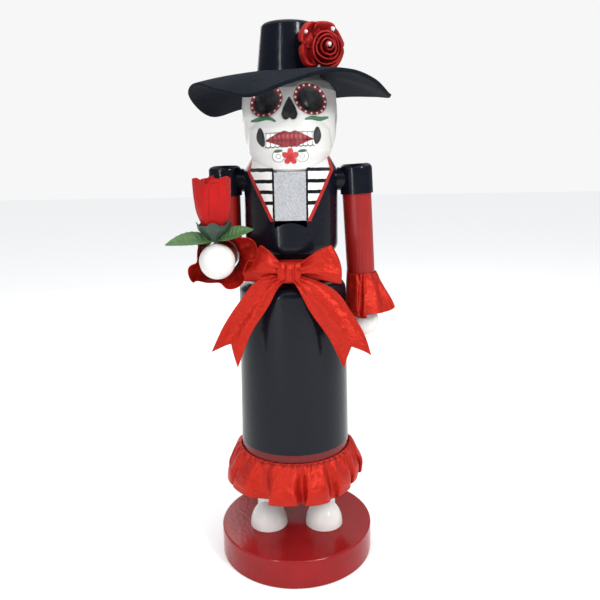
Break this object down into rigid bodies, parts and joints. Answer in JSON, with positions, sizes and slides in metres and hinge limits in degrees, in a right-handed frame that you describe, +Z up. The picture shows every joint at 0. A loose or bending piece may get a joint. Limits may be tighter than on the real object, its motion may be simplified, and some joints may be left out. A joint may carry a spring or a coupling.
{
  "type": "nutcracker figure",
  "caption": "Turned wooden Catrina figure in the nutcracker style: sugar-skull head, felt hat with a rose, satin bow and ruffles, a rose in one hand and a jaw lever in the chest.",
  "frame": {"origin": "centre of the base disc's underside, on the surface it stands on", "axes": "+Z up along the body, -Y the way the face looks, +X to the figure's left"},
  "size_m": [0.1365, 0.125, 0.3535],
  "materials": {
    "lacquer_black": "high-gloss black lacquer on turned wood",
    "lacquer_red": "high-gloss red lacquer on turned wood",
    "lacquer_white": "gloss white lacquer on turned wood",
    "sleeve_red": "satin red lacquer on turned wood",
    "bare_wood": "unfinished beech",
    "lever_black": "satin black lacquer on wood",
    "skull_paint": "hand-painted cast resin, satin",
    "satin_red": "polyester satin",
    "felt_black": "wool felt",
    "rose_ribbon": "satin ribbon, folded and rolled",
    "rhinestone": "faceted and foil-backed",
    "glitter_silver": "silver glitter cloth",
    "rose_red": "flocked petals",
    "calyx_green": "moulded, matt",
    "leaf_green": "printed cloth leaves",
    "steel": "zinc-plated"
  },
  "bodies": {
    "figure": {"arm_dowels": "bare_wood", "base_disc": "lacquer_red", "base_screws": "steel", "bow_knot": "satin_red", "bow_loop_left": "satin_red", "bow_loop_right": "satin_red", "bow_tail_left": "satin_red", "bow_tail_right": "satin_red", "cuff_left": "satin_red", "cuff_right": "satin_red", "elbow_dowel": "bare_wood", "forearm_right": "sleeve_red", "hand_dowels": "bare_wood", "hand_left": "lacquer_white", "hand_right": "lacquer_white", "hat_brim": "felt_black", "hat_crown": "lacquer_black", "hat_dowel": "bare_wood", "hat_rose_coil": "rose_ribbon", "hat_rose_gems": "rhinestone", "hat_rose_petals": "rose_ribbon", "hem_ruffle": "satin_red", "leg_left": "lacquer_white", "leg_right": "lacquer_white", "lever_pin": "steel", "rose_calyx": "calyx_green", "rose_core": "rose_red", "rose_leaf_left": "leaf_green", "rose_leaf_right": "leaf_green", "rose_petals": "rose_red", "rose_stem": "calyx_green", "shoe_left": "lacquer_white", "shoe_right": "lacquer_white", "shoulder_cap_left": "lacquer_black", "shoulder_cap_right": "lacquer_black", "shoulder_dowels": "bare_wood", "shoulder_spacer_left": "lacquer_black", "shoulder_spacer_right": "lacquer_black", "skirt": "lacquer_black", "skull": "skull_paint", "skull_dowels": "bare_wood", "sleeve_left": "sleeve_red", "torso": "lacquer_black", "upper_sleeve_right": "sleeve_red", "waist_block": "lacquer_black", "waist_dowel": "bare_wood", "waist_ribbon": "satin_red"},
    "lever": {"lever": "lever_black", "bib_facing": "glitter_silver"}
  },
  "joints": [
    {"name": "jaw_lever", "type": "hinge", "parent": "figure", "child": "lever", "pos_m": [0, 0.004, 0.25], "axis": [1, 0, 0], "range_deg": [0, 25]}
  ]
}
